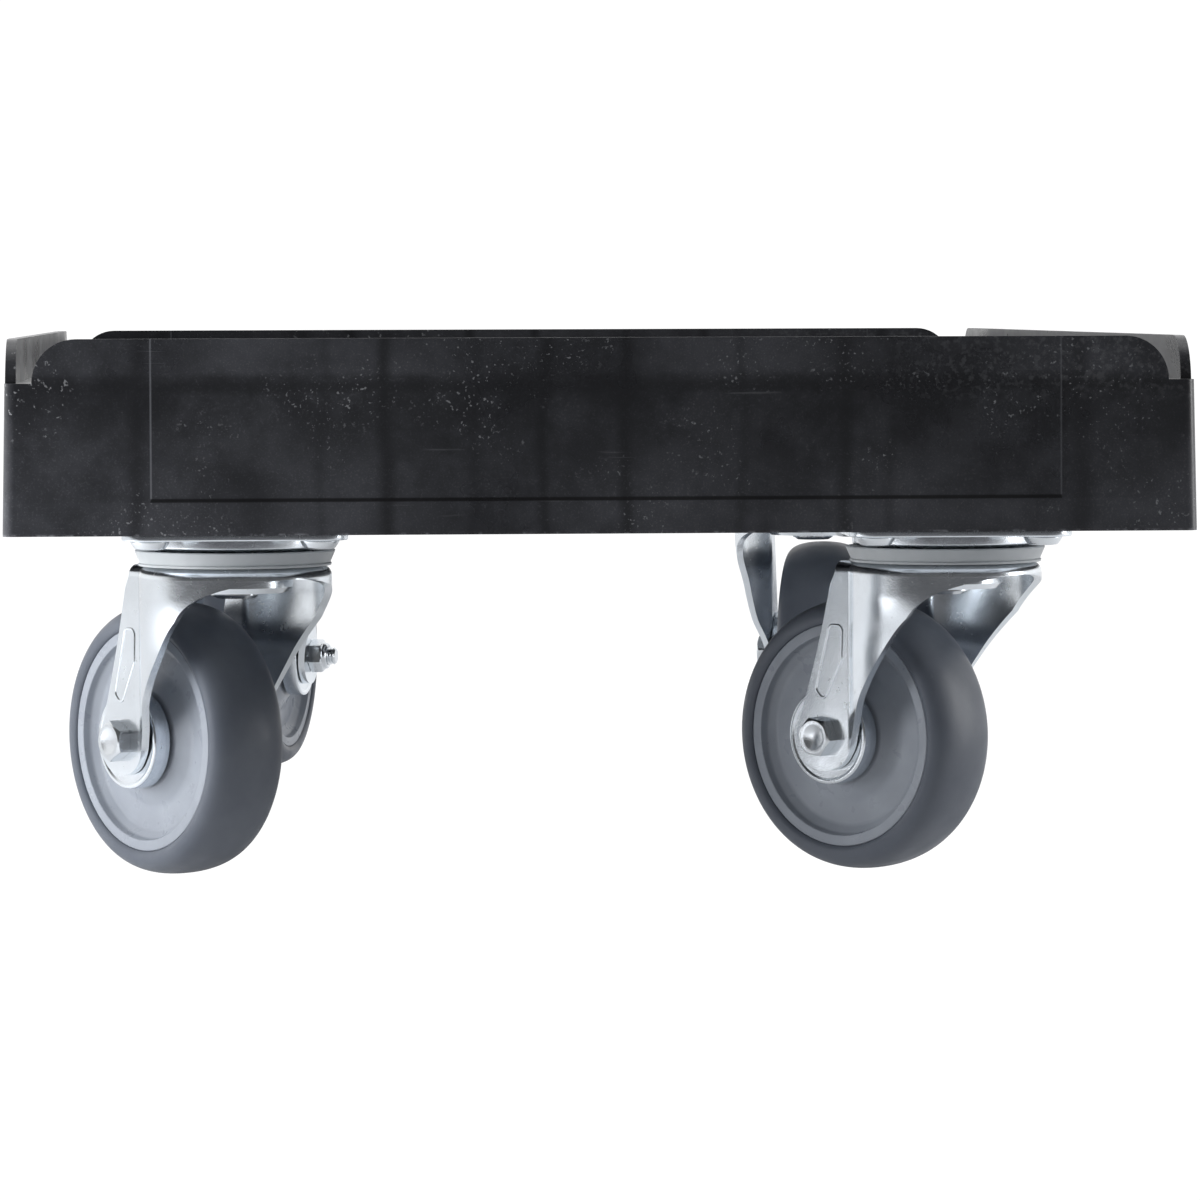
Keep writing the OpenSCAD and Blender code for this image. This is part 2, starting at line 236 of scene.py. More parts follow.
def slab(outline, low, high, edge, steps=3):
    """An outline raised from low to high, with rounded upper and lower edges."""
    def inset(amount):
        out = []
        for i, (x, y) in enumerate(outline):
            before = Vector(outline[i - 1])
            after = Vector(outline[(i + 1) % len(outline)])
            along = (after - before).normalized()
            out.append((x - along.y * amount, y + along.x * amount))
        return out
    levels = []
    for k in range(steps + 1):
        a = math.pi / 2 * k / steps
        levels.append((edge * (1 - math.sin(a)), low + edge * (1 - math.cos(a))))
    levels += [(amount, low + high - z) for amount, z in reversed(levels)]
    verts = []
    count = len(outline)
    for amount, z in levels:
        verts += [(x, y, z) for x, y in inset(amount)]
    faces = grid_faces(len(levels), count, wrap_columns=True)
    faces.append(tuple(reversed(range(count))))
    faces.append(tuple(range(len(verts) - count, len(verts))))
    return verts, faces


# ---------------------------------------------------------------- materials

class Nodes:
    """A new material and short calls for the nodes in it. A value is a number, a colour or a socket."""

    def __init__(self, name, **values):
        self.material = bpy.data.materials.new(name)
        self.material.use_nodes = True
        self.tree = self.material.node_tree
        self.shader = self.tree.nodes["Principled BSDF"]
        for socket, value in values.items():
            self.shader.inputs[socket.replace("_", " ")].default_value = value
        self.place = self.tree.nodes.new("ShaderNodeTexCoord").outputs["Object"]

    def node(self, kind, **inputs):
        made = self.tree.nodes.new(kind)
        for key, value in inputs.items():
            self.feed(made.inputs[key.replace("_", " ")], value)
        return made

    def feed(self, socket, value):
        if isinstance(value, bpy.types.NodeSocket):
            self.tree.links.new(value, socket)
        else:
            socket.default_value = value

    def stretched(self, scale, turn=(0, 0, 0)):
        mapped = self.node("ShaderNodeMapping", Vector=self.place, Scale=scale, Rotation=turn)
        return mapped.outputs["Vector"]

    def noise(self, scale, detail=2.0, roughness=0.5, vector=None):
        made = self.node("ShaderNodeTexNoise", Vector=vector or self.place, Scale=scale,
                         Detail=detail, Roughness=roughness)
        return made.outputs["Fac"]

    def ramp(self, value, low, high, to_low=0.0, to_high=1.0):
        """From to_low at low to to_high at high, with soft ends, and level beyond both."""
        made = self.node("ShaderNodeMapRange", Value=value, From_Min=low, From_Max=high,
                         To_Min=to_low, To_Max=to_high)
        made.interpolation_type = "SMOOTHSTEP"
        return made.outputs["Result"]

    def math(self, operation, a, b=0.0):
        made = self.node("ShaderNodeMath")
        made.operation = operation
        self.feed(made.inputs[0], a)
        self.feed(made.inputs[1], b)
        return made.outputs[0]

    def product(self, first, *others):
        for other in others:
            first = self.math("MULTIPLY", first, other)
        return first

    def strongest(self, first, *others):
        for other in others:
            first = self.math("MAXIMUM", first, other)
        return first

    def distance(self, value, place):
        return self.math("ABSOLUTE", self.math("SUBTRACT", value, place))

    def mix(self, amount, a, b):
        made = self.tree.nodes.new("ShaderNodeMix")
        made.data_type = "RGBA"
        self.feed(made.inputs["Factor"], amount)
        self.feed(made.inputs[6], a)
        self.feed(made.inputs[7], b)
        return made.outputs[2]

    def bump(self, height, distance, strength=1.0, normal=None):
        made = self.node("ShaderNodeBump", Height=height, Distance=distance, Strength=strength)
        if normal is not None:
            self.feed(made.inputs["Normal"], normal)
        return made.outputs["Normal"]

    def give(self, socket, value):
        self.feed(self.shader.inputs[socket], value)


# Painted shade in bands on a wall where the ribs inside meet it: place along X and half width in millimetres, and
# darkness
RIB_SHADE_BANDS = ((-98, 3.5, 0.35), (-76, 4.5, 1.0), (-46, 3.5, 0.45), (-21, 4.0, 0.9), (8, 4.0, 0.9),
             (49, 3.0, 0.5), (85, 4.5, 0.8), (101, 3.5, 0.35), (-163, 5.0, 0.8), (168, 6.0, 0.7))
# The raised panel on the front and back walls, in millimetres: its two ends, and its lower edge's height
PANEL_LEFT = -158.0
PANEL_RIGHT = 161.0
PANEL_FOOT = 12.3
# Levels on the walls, in metres: the panel's lower edge, and the deck plate inside
FOOT_Z = (DECK_UNDER + PANEL_FOOT) * MM
PLATE_Z = (DECK_TOP - 1.5) * MM


def rib_shadow(m, x, z):
    """Painted shade: dark bands where the ribs and the deck plate meet the wall from inside."""
    wander = m.ramp(m.noise(30.0, 2.0), 0.0, 1.0, -2.5 * MM, 2.5 * MM)
    wavy_x = m.math("ADD", x, wander)
    bands = [m.ramp(m.distance(z, PLATE_Z), 0.6 * MM, 3.2 * MM, 0.75, 0.0)]
    for place, half, darkness in RIB_SHADE_BANDS:
        bands.append(m.ramp(m.distance(wavy_x, place * MM), 0.0, half * MM, darkness, 0.0))
    return m.strongest(*bands)


def wall_haze_and_sheen(m, z, clouds, shadow):
    """Clouded tone with a painted sheen, palest below the panel and above the deck plate, and darkened by the
    painted rib shade.
    """
    # Painted sheen: lighter bands below the panel's foot and above the deck plate
    painted_sheen = m.strongest(
        m.ramp(z, FOOT_Z, PLATE_Z, 0.5, 0.12),
        m.ramp(z, PLATE_Z + 2 * MM, PLATE_Z + 6 * MM, 0.0, 0.62),
        m.ramp(z, FOOT_Z - 0.8 * MM, FOOT_Z, 0.62, 0.0))
    drift = m.ramp(m.noise(42.0, 5.0, 0.7), 0.38, 0.66)
    haze_and_sheen = m.product(painted_sheen, m.math("ADD", m.product(clouds, 0.75), 0.25))
    haze_and_sheen = m.math("ADD", m.product(haze_and_sheen, 0.8), m.product(drift, 0.26))
    # Painted shade where the ribs and the deck plate meet the wall
    return m.product(haze_and_sheen, m.math("SUBTRACT", 1.0, m.product(shadow, 0.8)))


def wall_dust(m, x, z):
    """Grains and flakes in patches, scaly marks at one upper end, and a few long scratches."""
    grains = m.product(m.ramp(m.noise(820.0, 2.0, 0.5), 0.64, 0.70),
                       m.ramp(m.noise(19.0, 3.0, 0.6), 0.49, 0.62))
    flakes = m.product(m.ramp(m.noise(420.0, 3.0, 0.6), 0.63, 0.69),
                       m.ramp(m.noise(11.0, 2.0, 0.6), 0.58, 0.66))
    scales = m.product(m.ramp(m.noise(430.0, 3.0, 0.6), 0.5, 0.66),
                       m.ramp(x, 85 * MM, 130 * MM, 0.0, 0.2),
                       m.ramp(z, PLATE_Z - 10 * MM, PLATE_Z + 4 * MM))
    long_grain = m.stretched((0.3, 0.3, 9.0), (0.1, 0.25, 0))
    scratches = m.ramp(m.noise(70.0, 3.0, 0.5, long_grain), 0.70, 0.76, 0.0, 0.2)
    return m.strongest(grains, flakes, scales, scratches)


def panel_lines(m, x, y, z):
    """Painted highlights on the panel's two end edges, and a painted shadow line under its lower step, on the
    front and back walls only.
    """
    wall = DECK_HALF.y * MM
    on_wall = m.ramp(m.distance(y, DECK_MIDDLE.y * MM), wall - 6 * MM, wall - 4.5 * MM)
    # Painted highlights: pale lines along the panel's end edges
    ends = m.strongest(
        m.ramp(m.distance(x, PANEL_LEFT * MM), 0.1 * MM, 0.5 * MM, 0.5, 0.0),
        m.ramp(m.distance(x, PANEL_RIGHT * MM), 0.1 * MM, 0.5 * MM, 0.3, 0.0))
    end_highlights = m.product(ends, m.ramp(z, FOOT_Z - 0.4 * MM, FOOT_Z + 0.4 * MM), on_wall)
    # Painted shadow: a dark line under the panel's lower step
    line = m.product(
        m.ramp(m.distance(z, FOOT_Z), 0.4 * MM, 0.9 * MM, 1.0, 0.0),
        m.ramp(x, (PANEL_LEFT - 0.5) * MM, PANEL_LEFT * MM),
        m.ramp(x, PANEL_RIGHT * MM, (PANEL_RIGHT + 0.5) * MM, 1.0, 0.0),
        on_wall)
    return end_highlights, line


def deck_plastic():
    """Black moulded plastic: painted rib shade, clouded tone with a painted sheen, dust in patches, and a painted
    highlight and shadow line round the panel.
    """
    m = Nodes("deck_plastic", Specular_IOR_Level=0.6)
    split = m.node("ShaderNodeSeparateXYZ", Vector=m.place)
    x, y, z = (split.outputs[axis] for axis in "XYZ")
    clouds = m.ramp(m.noise(15.0, 4.0, 0.6), 0.34, 0.68)
    haze_and_sheen = wall_haze_and_sheen(m, z, clouds, rib_shadow(m, x, z))
    specks = m.ramp(m.noise(1500.0, 2.0, 0.6), 0.53, 0.72)
    specks = m.product(specks, 0.42, m.math("ADD", haze_and_sheen, 0.15))
    dust = wall_dust(m, x, z)
    end_highlights, line = panel_lines(m, x, y, z)
    chips = m.product(m.ramp(m.noise(230.0, 3.0, 0.7), 0.5, 0.66),
                      m.ramp(z, (DECK_UNDER + 0.2) * MM, (DECK_UNDER + 1.1) * MM, 0.6, 0.0))

    # The wall's tone carries the painted sheen and the painted rib shade, as well as clouding that differs at
    # random
    tone = m.mix(haze_and_sheen, (0.0175, 0.0183, 0.0217, 1), (0.098, 0.102, 0.117, 1))
    tone = m.mix(specks, tone, (0.20, 0.205, 0.22, 1))
    tone = m.mix(m.product(dust, 0.75), tone, (0.36, 0.37, 0.39, 1))
    # Painted highlights on the panel's ends, and real chips along the wall's foot
    tone = m.mix(m.strongest(end_highlights, chips), tone, (0.30, 0.31, 0.34, 1))
    # Painted shadow line under the panel's lower step
    m.give("Base Color", m.mix(m.product(line, 0.9), tone, (0.002, 0.002, 0.003, 1)))
    m.give("Roughness", m.math("ADD", m.ramp(clouds, 0, 1, 0.27, 0.38), m.product(dust, 0.25)))
    waves = m.bump(m.noise(26.0, 1.0), 0.4 * MM, 0.3)
    m.give("Normal", m.bump(m.noise(1500.0, 2.0), 0.03 * MM, 0.5, waves))
    return m.material


def zinc(name, low_rough, high_rough, tint):
    """Bright zinc plating: softly clouded gloss with a fine grain and a few dull specks."""
    m = Nodes(name, Metallic=1.0)
    bright = tuple(0.90 * c for c in tint) + (1,)
    dull = tuple(0.80 * c for c in tint) + (1,)
    tone = m.mix(m.ramp(m.noise(26.0, 3.0, 0.55), 0.3, 0.7), bright, dull)
    specks = m.ramp(m.noise(520.0, 2.0, 0.6), 0.66, 0.76)
    m.give("Base Color", m.mix(m.product(specks, 0.3), tone, (0.42, 0.45, 0.49, 1)))
    rough = m.ramp(m.noise(70.0, 5.0, 0.7), 0.25, 0.75, low_rough, high_rough)
    m.give("Roughness", m.math("ADD", rough, m.product(specks, 0.08)))
    dents = m.bump(m.noise(95.0, 2.0), 0.15 * MM, 0.3)
    m.give("Normal", m.bump(m.noise(1300.0, 3.0, 0.6), 0.04 * MM, 0.7, dents))
    return m.material


def plain_plastic(name, dark, light, rough, grain_scale):
    """Moulded plastic of one colour: faintly clouded, with a fine grain and a few dark specks."""
    m = Nodes(name, Specular_IOR_Level=0.5)
    tone = m.mix(m.ramp(m.noise(45.0, 4.0, 0.6), 0.35, 0.7), dark + (1,), light + (1,))
    specks = m.ramp(m.noise(700.0, 2.0, 0.6), 0.72, 0.78)
    speck_tone = tuple(0.55 * c for c in dark) + (1,)
    m.give("Base Color", m.mix(m.product(specks, 0.35), tone, speck_tone))
    m.give("Roughness", m.ramp(m.noise(120.0, 4.0), 0.3, 0.7, rough - 0.06, rough + 0.08))
    m.give("Normal", m.bump(m.noise(grain_scale, 2.0), 0.03 * MM, 0.35))
    return m.material


def tyre_rubber():
    """Soft grey rubber: satin, with pale scuffs in patches."""
    m = Nodes("tyre_rubber", Specular_IOR_Level=0.45)
    clouds = m.ramp(m.noise(38.0, 4.0, 0.6), 0.35, 0.7)
    scuffs = m.product(m.ramp(m.noise(170.0, 4.0, 0.7), 0.68, 0.78),
                       m.ramp(m.noise(30.0, 2.0), 0.52, 0.62))
    tone = m.mix(clouds, (0.094, 0.107, 0.133, 1), (0.112, 0.126, 0.152, 1))
    m.give("Base Color", m.mix(m.product(scuffs, 0.4), tone, (0.22, 0.23, 0.25, 1)))
    m.give("Roughness", m.ramp(m.noise(90.0, 4.0), 0.3, 0.7, 0.36, 0.5))
    waves = m.bump(m.noise(55.0, 1.0), 0.2 * MM, 0.2)
    m.give("Normal", m.bump(m.noise(1100.0, 2.0), 0.03 * MM, 0.4, waves))
    return m.material


DECK_PLASTIC = deck_plastic()
ZINC = zinc("zinc_plate", 0.17, 0.29, (0.94, 0.99, 1.04))
FASTENER = zinc("zinc_fastener", 0.16, 0.28, (0.86, 0.90, 0.94))
BEARING = zinc("bearing_steel", 0.18, 0.3, (0.85, 0.86, 0.88))
BRASS = zinc("insert_brass", 0.22, 0.35, (0.98, 0.80, 0.45))
DUST_RING = plain_plastic("dust_ring_plastic", (0.42, 0.445, 0.465), (0.48, 0.505, 0.525), 0.42, 900.0)
RIM = plain_plastic("rim_plastic", (0.268, 0.292, 0.335), (0.303, 0.330, 0.375), 0.32, 800.0)
TYRE = tyre_rubber()


# ---------------------------------------------------------------- deck

def cut(bm, point, normal, where):
    """Splits the faces whose middles pass a test, along a plane."""
    faces = [f for f in bm.faces if where(f)]
    edges = {e for f in faces for e in f.edges}
    verts = {v for f in faces for v in f.verts}
    bmesh.ops.bisect_plane(bm, geom=list(verts) + list(edges) + faces, dist=1e-7,
                           plane_co=point, plane_no=normal)


def raise_panel(bm, axis, side, low, high):
    """Raises a broad flat panel on one wall, from low to high along it and down to the panel's foot."""
    along = 1 - axis
    face_at = (DECK_MIDDLE[axis] + side * DECK_HALF[axis]) * MM
    near = 6.0 * MM
    proud = PANEL_PROUD * MM
    slack = 1e-6

    def on_wall(face):
        return side * (face.calc_center_median()[axis] - face_at) > -near

    for place, sense in ((low, -1), (high, 1)):
        for step in (0, proud):
            point = [0, 0, 0]
            normal = [0, 0, 0]
            point[along] = place + sense * step
            normal[along] = 1
            cut(bm, point, normal, on_wall)
    for step in (0, proud):
        cut(bm, (0, 0, FOOT_Z - step), (0, 0, 1), on_wall)
    # Only the outer part of the wall moves, and its inner face stays
    inner_part = face_at - side * 3.2 * MM
    for v in bm.verts:
        on_panel = low - slack < v.co[along] < high + slack and v.co.z > FOOT_Z - slack
        if on_panel and side * (v.co[axis] - inner_part) > 0:
            v.co[axis] += side * proud


def edges_to_round(bm):
    """The sharp edges on the walls' outside, on the rims and on the deck plate."""
    wall_depth = 5.2 * MM
    plate_under = (DECK_TOP - 3) * MM
    edges = []
    for e in bm.edges:
        middle = (e.verts[0].co + e.verts[1].co) / 2
        past_x = abs(middle.x) - deck_high.x * MM
        past_y = abs(middle.y - DECK_MIDDLE.y * MM) - DECK_HALF.y * MM
        outside = max(past_x, past_y) > -wall_depth
        if len(e.link_faces) == 2 and e.calc_face_angle() > math.radians(40):
            if outside or middle.z > plate_under:
                edges.append(e)
    return edges


def build_deck():
    """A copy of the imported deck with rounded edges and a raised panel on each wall."""
    bm = bmesh.new()
    bm.from_mesh(frame["nodes"]["deck"].data)
    bmesh.ops.remove_doubles(bm, verts=bm.verts, dist=1e-6)
    bmesh.ops.dissolve_limit(bm, angle_limit=math.radians(0.6), verts=bm.verts, edges=bm.edges)
    bmesh.ops.bevel(bm, geom=edges_to_round(bm), offset=EDGE_ROUND * MM, segments=4, profile=0.5,
                    affect="EDGES", clamp_overlap=True)
    from_end = 52 * MM
    for side in (-1, 1):
        raise_panel(bm, 1, side, PANEL_LEFT * MM, PANEL_RIGHT * MM)
    for side in (-1, 1):
        raise_panel(bm, 0, side, deck_low.y * MM + from_end, deck_high.y * MM - from_end)
    # Drawn in a little, so that the raised panels stay within the walls' full size
    for v in bm.verts:
        v.co.x -= DRAWN_IN * v.co.x / DECK_HALF.x
        v.co.y -= DRAWN_IN * (v.co.y - DECK_MIDDLE.y * MM) / DECK_HALF.y
    bmesh.ops.recalc_face_normals(bm, faces=bm.faces)
    mesh = bpy.data.meshes.new("deck_moulding")
    bm.to_mesh(mesh)
    bm.free()
    piece = add_piece("deck_moulding", mesh, "root", DECK_PLASTIC, sharp=32)
    even_normals(piece)
    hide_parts("deck")


# ---------------------------------------------------------------- swivel head

def build_top_plate(corner):
    """A flat flange with rounded corners, and the round dish pressed down in its middle."""
    x, y = PLATE_W / 2, PLATE_L / 2
    outline = [(x, -y), (x, y), (-x, y), (-x, -y)]
    outline = filleted([(*point, PLATE_CORNER_R) for point in outline], steps=10)
    flange = slab(outline, DECK_UNDER - STEEL, DECK_UNDER, 0.5)
    pin_r = 6.1
    dish = lathe(filleted([
        (pin_r, DISH_UNDER, 0), (DISH_R, DISH_UNDER, 1.4), (DISH_R, DECK_UNDER - STEEL - 0.2, 0.2),
        (DISH_R, DECK_UNDER - 0.4, 0), (DISH_R - STEEL, DECK_UNDER - 0.4, 0),
        (DISH_R - STEEL, DISH_UNDER + STEEL, 1), (pin_r, DISH_UNDER + STEEL, 0)], steps=4))
    verts, faces = joined(flange, dish)
    piece = make_piece(corner + "_plate", verts, faces, plate_place(corner), "root", ZINC)
    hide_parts(corner + "_top_plate")


def build_plate_screws(corner):
    """Four low round heads under the plate, each with a hexagon socket."""
    under = DECK_UNDER - STEEL
    shank = [(0, under + 6), (3.9, under + 6)]
    head = filleted([
        (3.9, under, 0), (6.6, under, 0.2), (7.0, under - 0.5, 0.3), (6.7, under - 1.2, 0.6),
        (5.4, under - 3.1, 1.2), (3.4, under - 3.4, 0.3)], closed=False, steps=3)
    socket = [(3.2, under - 3.3, 2.5), (3.0, under - 1.4, 2.45), (0, under - 1.0, 2.4)]
    screw_verts, screw_faces = lathe(shank + head + socket, segments=96, closed=False)
    screws = []
    for x, y in SCREW_PLACES:
        screws.append(([(vx + x, vy + y, vz) for vx, vy, vz in screw_verts], screw_faces))
    verts, faces = joined(*screws)
    piece = make_piece(corner + "_screws", verts, faces, plate_place(corner), "root",
                       FASTENER)
    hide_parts(corner + "_plate_screws")


def build_dust_ring(corner):
    """A thin ring between the crown and the dish, which widens upwards."""
    top = DISH_UNDER - 0.3
    profile = filleted([
        (30.8, CROWN_TOP, 0), (34.7, CROWN_TOP, 0.25), (34.9, CROWN_TOP + 0.9, 0.25),
        (34.4, CROWN_TOP + 1.1, 0.15), (36.4, top, 0.45), (34.6, top, 0.3),
        (32.6, CROWN_TOP + 1.8, 0), (30.8, CROWN_TOP + 1.8, 0)], steps=4)
    verts, faces = lathe(profile)
    piece = make_piece(corner + "_seal", verts, faces, caster_place(corner), corner + "_swivel",
                       DUST_RING)
    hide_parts(corner + "_dust_ring")


# ---------------------------------------------------------------- fork

class ForkPlan:
    """The fork's outline seen from above, on the side y > 0: from the front of the crown, round the
    side and into the flat leg. Places on it are lengths from the front."""

    blend_r = 2.2

    def __init__(self):
        r, leg, f = CROWN_R, LEG_OUT, self.blend_r
        cx = -math.sqrt((r + f) ** 2 - (leg + f) ** 2)
        meet = math.degrees(math.atan2(leg + f, cx))
        points = arc(0, 0, r, 0, meet, 90)
        points += arc(cx, leg + f, f, meet + 180, 270, 12)[1:]
        self.bend_start = r * math.radians(meet)
        self.points = [Vector(p) for p in points] + [Vector((-56, leg))]
        self.lengths = [0.0]
        for a, b in zip(self.points, self.points[1:]):
            self.lengths.append(self.lengths[-1] + (b - a).length)
        self.bend_end = self.lengths[-2]

    def at(self, length):
        """The point and the outward normal at a length from the front."""
        k = 1
        while k < len(self.lengths) - 1 and self.lengths[k] < length:
            k += 1
        a, b = self.points[k - 1], self.points[k]
        t = (length - self.lengths[k - 1]) / (self.lengths[k] - self.lengths[k - 1])
        here = a.lerp(b, t)
        if length <= self.bend_start:
            return here, here.normalized()
        along = (b - a).normalized()
        return here, Vector((along.y, -along.x))

    def length_at(self, x):
        """The length from the front at which the outline first comes back as far as x."""
        for k in range(1, len(self.points)):
            if self.points[k].x <= x:
                a, b = self.points[k - 1], self.points[k]
                part = (a.x - x) / (a.x - b.x)
                return self.lengths[k - 1] + part * (self.lengths[k] - self.lengths[k - 1])
        return self.lengths[-1]


PLAN = ForkPlan()
LEG_END_R = 12.6
AXLE_Z = WHEEL_R
BEND_Z = CROWN_TOP - CROWN_BEND

# The wall's front edge, from the crown down to the leg's end: each row holds a curve's four corners
FRONT_EDGE = (
    ((CROWN_R, BEND_Z), (27, BEND_Z - 3.3), (15, 105), (8, 95)),
    ((8, 95), (-2.5, 86.5), (-19.5, 64.5), (-24, 50)),
    ((-24, 50), (-25, 43), (-28, AXLE_Z - LEG_END_R), (-TRAIL, AXLE_Z - LEG_END_R)),
)


def trailing_x(z):
    """The trailing edge: round at the axle, then nearly straight up to the crown."""
    if z < AXLE_Z:
        return -TRAIL - math.sqrt(max(LEG_END_R ** 2 - (z - AXLE_Z) ** 2, 0))
    low, high = (-TRAIL - LEG_END_R, AXLE_Z), (-34.0, 106.0)
    if z < high[1]:
        t = (z - low[1]) / (high[1] - low[1])
        return low[0] + t * (high[0] - low[0]) + math.sin(math.pi * t)
    return high[0] + 0.5 * (z - high[1])


def eased(value, low, high):
    """From 0 at low to 1 at high, with soft ends."""
    t = max(0.0, min(1.0, (value - low) / (high - low)))
    return t * t * (3 - 2 * t)


def bulged(point, z):
    """The wall leans in towards the legs below the crown, and it fades into the flat leg by the axle."""
    rise = point.y - LEG_OUT
    lean = 0.28 * (1 - eased(z, 80, 104)) * rise / (CROWN_R - LEG_OUT)
    fade = 0.3 + 0.7 * eased(z, 47, 66)
    return LEG_OUT + rise * (1 - lean) * fade


def fork_rows():
    """Rows of the wall from the crown's bend down to the leg's end: (z, front length)."""
    rows = [(BEND_Z, 0.0)]
    for edge, steps in zip(FRONT_EDGE, (26, 26, 18)):
        for k in range(1, steps + 1):
            x, z = bezier(*edge, k / steps)
            rows.append((z, PLAN.length_at(x)))
    return rows


def row_lengths(front, back):
    """Places along one row: the round wall, then the bend into the leg, then the flat leg."""
    wall_steps, bend_steps, leg_steps = 40, 8, 12
    wall_end = max(PLAN.bend_start, front)
    row = [front + (wall_end - front) * k / wall_steps for k in range(wall_steps)]
    for k in range(bend_steps):
        row.append(max(front, PLAN.bend_start + (PLAN.bend_end - PLAN.bend_start) * k / bend_steps))
    leg_start = max(front, PLAN.bend_end)
    row += [leg_start + (back - leg_start) * k / leg_steps for k in range(leg_steps + 1)]
    return row


def crown_bend(lengths, steps=8):
    """Rows that round the wall's top inwards, from the crown's flat ring down."""
    rows = []
    for k in range(steps, 0, -1):
        a = math.radians(90 * k / steps)
        inward = CROWN_BEND * (1 - math.cos(a))
        z = BEND_Z + CROWN_BEND * math.sin(a)
        row = []
        for length in lengths:
            point, normal = PLAN.at(length)
            point = point - normal * inward
            row.append((point.x, point.y, z))
        rows.append(row)
    return rows


def crown_ring(rim):
    """The crown's flat ring, from the bend's upper edge in to the hole for the king pin."""
    hole, rings, closing = 12.0, 7, 16
    end_x, end_y = rim[-1]
    across = [(end_x, end_y * (1 - 2 * k / closing)) for k in range(1, closing)]
    loop = rim + across + [(x, -y) for x, y in reversed(rim[1:])]
    verts = []
    for ring in range(rings + 1):
        for x, y in loop:
            far = math.hypot(x, y)
            scale = (far + (hole - far) * ring / rings) / far
            verts.append((x * scale, y * scale, CROWN_TOP))
    return verts, grid_faces(rings + 1, len(loop), wrap_columns=True)


def fork_surface():
    """The outer face of the pressed sheet, before it is given its thickness."""
    rows = fork_rows()
    lengths = [row_lengths(front, PLAN.length_at(trailing_x(z))) for z, front in rows]
    wall = crown_bend(lengths[0])
    for (z, front), row in zip(rows, lengths):
        points = [PLAN.at(length)[0] for length in row]
        wall.append([(p.x, bulged(p, z), z) for p in points])
    faces = grid_faces(len(wall), len(wall[0]))
    shapes = []
    for side in (1, -1):
        verts = [(x, side * y, z) for row in wall for x, y, z in row]
        shapes.append((verts, [face[::side] for face in faces]))
    rim = [(x, y) for x, y, z in wall[0]]
    return joined(*shapes, crown_ring(rim))


def build_fork(corner, surface):
    """The pressed fork: the outer face thickened inwards, with softened edges."""
    verts, faces = surface
    piece = make_piece(corner + "_fork_sheet", verts, faces, caster_place(corner), corner + "_swivel",
                       ZINC, sharp=45, tidy=0.02)
    bm = bmesh.new()
    bm.from_mesh(piece.data)
    highest = max(bm.faces, key=lambda f: f.calc_center_median().z)
    if highest.normal.z < 0:
        bmesh.ops.reverse_faces(bm, faces=bm.faces)
    bm.to_mesh(piece.data)
    bm.free()
    thick = piece.modifiers.new("sheet", "SOLIDIFY")
    thick.thickness = STEEL * MM
    thick.offset = -1
    thick.use_even_offset = True
    soften = piece.modifiers.new("edges", "BEVEL")
    soften.width = 0.45 * MM
    soften.segments = 2
    soften.limit_method = "ANGLE"
    soften.angle_limit = math.radians(55)
    even_normals(piece)
    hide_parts(corner + "_fork")


# The oblong on each leg's flat face, in the caster's frame: x, z and corner radius
OBLONG = ((-40.8, 67, 2.0), (-36.9, 63, 2.4), (-28.8, 79, 3.5), (-28.4, 91, 2.2), (-34.4, 91, 2.2))


def raised_line(path, side, width=1.1, height=0.45, steps=6):
    """A half-round line along a closed path of (x, z) on a leg's outer face."""
    verts = []
    for i, (x, z) in enumerate(path):
        along = (Vector(path[(i + 1) % len(path)]) - Vector(path[i - 1])).normalized()
        for k in range(steps + 1):
            a = math.pi * k / steps
            out = width / 2 * math.cos(a)
            up = LEG_OUT - 0.1 + height * math.sin(a)
            verts.append((x + along.y * out, side * up, z - along.x * out))
    return verts, grid_faces(len(path), steps + 1, wrap_rows=True, wrap_columns=True)


def build_leg_lines(corner):
    """A thin raised line round an oblong on each leg."""
    path = filleted(OBLONG, steps=6)
    for side, name in ((-1, "right"), (1, "left")):
        verts, faces = raised_line(path, side)
        make_piece(f"{corner}_leg_line_{name}", verts, faces, caster_place(corner), corner + "_swivel",
                   ZINC, sharp=80)


# ---------------------------------------------------------------- axle

# How far each bolt and its nut are turned, in degrees
BOLT_TURNS = {"front_left": 0.0, "front_right": 22.0, "rear_left": 10.0, "rear_right": 35.0}


def build_bolt(corner):
    """A hexagon-headed bolt: a shallow dish in the head, a chamfer, the shank, and threads past the nut."""
    face, flats = BOLT_FACE, HEX_HALF_FLATS
    top = face + 5.3
    dish = [(0, top - 0.45), (3.6, top - 0.3), (4.3, top - 0.05), (4.8, top), (6.0, top)]
    chamfer = [(r, top - 0.62 * (r - 6.0), flats) for r in (6.2, 6.5, 6.8, 7.0, 7.2, 7.4, 7.6)]
    under = [(7.6, face + 0.4, flats), (7.2, face, flats), (3.9, face)]
    threads = []
    for k in range(9):
        at = -face - 0.6 - k * 1.25
        threads += [(3.95, at), (3.3, at - 0.62)]
    end = [(3.95, -35.2), (3.2, -36.0), (0, -36.0)]
    turn = math.radians(BOLT_TURNS[corner])
    verts, faces = lathe(dish + chamfer + under + threads + end, segments=96, turn=turn, closed=False)
    piece = make_piece(corner + "_bolt", verts, faces, axle_place(corner), corner + "_swivel",
                       FASTENER, sharp=24)
    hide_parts(corner + "_axle_bolt")


